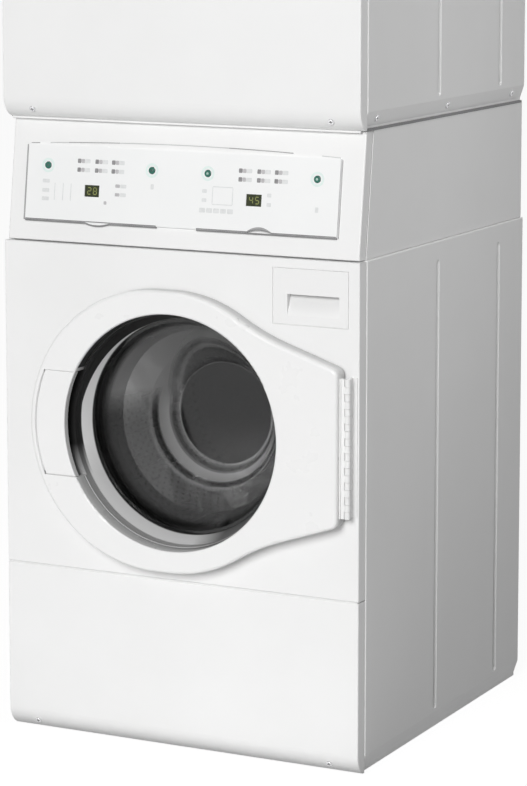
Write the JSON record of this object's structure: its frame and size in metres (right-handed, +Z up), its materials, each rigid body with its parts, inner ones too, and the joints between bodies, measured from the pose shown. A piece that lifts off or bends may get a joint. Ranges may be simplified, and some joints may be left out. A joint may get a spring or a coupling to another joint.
{
  "type": "stacked washer dryer",
  "caption": "Front loading washer with a porthole door, slanted control console and a vented dryer stacked on top, in one white steel cabinet.",
  "frame": {"origin": "middle of the footprint, on the floor under the feet", "axes": "+X to the right of a person who faces the front, +Y from the front to the back, +Z up"},
  "size_m": [0.683, 0.773, 1.984],
  "materials": {
    "white_enamel": "gloss",
    "console_white": "satin",
    "overlay_white": "satin",
    "display_yellow": "gloss",
    "board_green": "matt",
    "button_green": "gloss",
    "door_white": "gloss",
    "trim_dark": "satin",
    "bowl_glass": "clear",
    "steel": "brushed",
    "hinge_white": "satin",
    "screw_steel": "polished",
    "seal_rubber": "matt",
    "belt_rubber": "matt",
    "foot_rubber": "matt",
    "tub_plastic": "matt",
    "grey_plastic": "matt",
    "weight_iron": "cast",
    "cast_aluminium": "cast",
    "galvanised": "spangled",
    "drawer_white": "satin"
  },
  "bodies": {
    "cabinet": {"washer_base": "galvanised", "levelling_feet": "foot_rubber", "washer_left_side": "white_enamel", "washer_right_side": "white_enamel", "washer_rear_panel": "galvanised", "washer_front_panel": "white_enamel", "washer_lower_panel": "white_enamel", "console_fascia": "console_white", "console_wrap": "white_enamel", "control_overlay": "overlay_white", "control_displays": "display_yellow", "control_board": "board_green", "hinge_frame_leaves": "hinge_white", "door_lock": "trim_dark", "door_gasket": "seal_rubber", "dispenser_housing": "tub_plastic", "inlet_valves": "tub_plastic", "drain_pump": "grey_plastic", "suspension_springs": "steel", "damper_cylinders": "grey_plastic", "dryer_base": "galvanised", "dryer_left_side": "white_enamel", "dryer_right_side": "white_enamel", "dryer_rear_panel": "galvanised", "dryer_top_panel": "white_enamel", "dryer_front_panel": "white_enamel", "dryer_lower_panel": "white_enamel", "dryer_bulkhead": "galvanised", "dryer_throat_ring": "galvanised", "dryer_belt": "belt_rubber", "dryer_motor": "cast_aluminium", "blower_housing": "galvanised", "exhaust_duct": "galvanised", "heater_box": "galvanised", "panel_screws": "screw_steel"},
    "tub": {"outer_tub": "tub_plastic", "tub_counterweights": "weight_iron", "washer_motor": "cast_aluminium", "washer_belt": "belt_rubber", "damper_rods": "steel"},
    "drum": {"washer_drum": "steel", "drum_lifters": "grey_plastic", "drum_shaft": "cast_aluminium", "drum_pulley": "cast_aluminium"},
    "motor": {"motor_pulley": "cast_aluminium"},
    "door": {"door_ring": "door_white", "door_trim": "trim_dark", "door_glass": "bowl_glass", "door_hinge_leaf": "hinge_white"},
    "handle": {"door_handle": "door_white"},
    "drawer": {"dispenser_drawer": "drawer_white"},
    "dryer_door": {"dryer_door_panel": "white_enamel", "dryer_door_liner": "tub_plastic"},
    "tumbler": {"dryer_drum": "galvanised"},
    "blower": {"blower_rotor": "grey_plastic"},
    "button_1": {"washer_start_button": "button_green"},
    "button_2": {"washer_stop_button": "button_green"},
    "button_3": {"dryer_start_button": "button_green"},
    "button_4": {"dryer_stop_button": "button_green"},
    "filter": {"lint_filter": "grey_plastic"}
  },
  "joints": [
    {"name": "tub_float", "type": "slide", "parent": "cabinet", "child": "tub", "axis": [0, 0, 1], "range_m": [-0.006, 0.006], "stiffness_N_per_m": 30000, "springref_m": 0.00995, "deforming": ["suspension_springs"]},
    {"name": "drum_spin", "type": "hinge", "parent": "tub", "child": "drum", "pos_m": [0, 0, 0.562], "axis": [0, 1, 0], "continuous": true},
    {"name": "motor_spin", "type": "hinge", "parent": "tub", "child": "motor", "pos_m": [0, 0, 0.205], "axis": [0, 1, 0], "continuous": true},
    {"name": "door_hinge", "type": "hinge", "parent": "cabinet", "child": "door", "pos_m": [0.328, -0.3705, 0.562], "axis": [0, 0, 1], "range_deg": [0, 160]},
    {"name": "handle_pull", "type": "hinge", "parent": "door", "child": "handle", "pos_m": [-0.232, -0.3785, 0.562], "axis": [0, 0, -1], "range_deg": [0, 12], "stiffness_Nm_per_rad": 2, "springref_deg": -5.73},
    {"name": "drawer_slide", "type": "slide", "parent": "cabinet", "child": "drawer", "axis": [0, -1, 0], "range_m": [0, 0.17]},
    {"name": "dryer_door_hinge", "type": "hinge", "parent": "cabinet", "child": "dryer_door", "pos_m": [0.25, -0.3645, 1.678], "axis": [0, 0, 1], "range_deg": [0, 160]},
    {"name": "dryer_drum_spin", "type": "hinge", "parent": "cabinet", "child": "tumbler", "pos_m": [0, 0, 1.678], "axis": [0, 1, 0], "continuous": true},
    {"name": "blower_spin", "type": "hinge", "parent": "cabinet", "child": "blower", "pos_m": [-0.15, 0, 1.204], "axis": [0, 1, 0], "continuous": true},
    {"name": "washer_start_press", "type": "slide", "parent": "cabinet", "child": "button_1", "axis": [0, 0.9915, -0.1297], "range_m": [0, 0.0012], "stiffness_N_per_m": 500, "springref_m": -0.001},
    {"name": "washer_stop_press", "type": "slide", "parent": "cabinet", "child": "button_2", "axis": [0, 0.9915, -0.1297], "range_m": [0, 0.0012], "stiffness_N_per_m": 500, "springref_m": -0.001},
    {"name": "dryer_start_press", "type": "slide", "parent": "cabinet", "child": "button_3", "axis": [0, 0.9915, -0.1297], "range_m": [0, 0.0012], "stiffness_N_per_m": 500, "springref_m": -0.001},
    {"name": "dryer_stop_press", "type": "slide", "parent": "cabinet", "child": "button_4", "axis": [0, 0.9915, -0.1297], "range_m": [0, 0.0012], "stiffness_N_per_m": 500, "springref_m": -0.001},
    {"name": "lint_lift", "type": "slide", "parent": "cabinet", "child": "filter", "axis": [0, 0, 1], "range_m": [0, 0.2]}
  ],
  "couplings": [
    {"joint": "motor_spin", "follows": "drum_spin", "ratio": 7},
    {"joint": "blower_spin", "follows": "dryer_drum_spin", "ratio": 12.955}
  ]
}
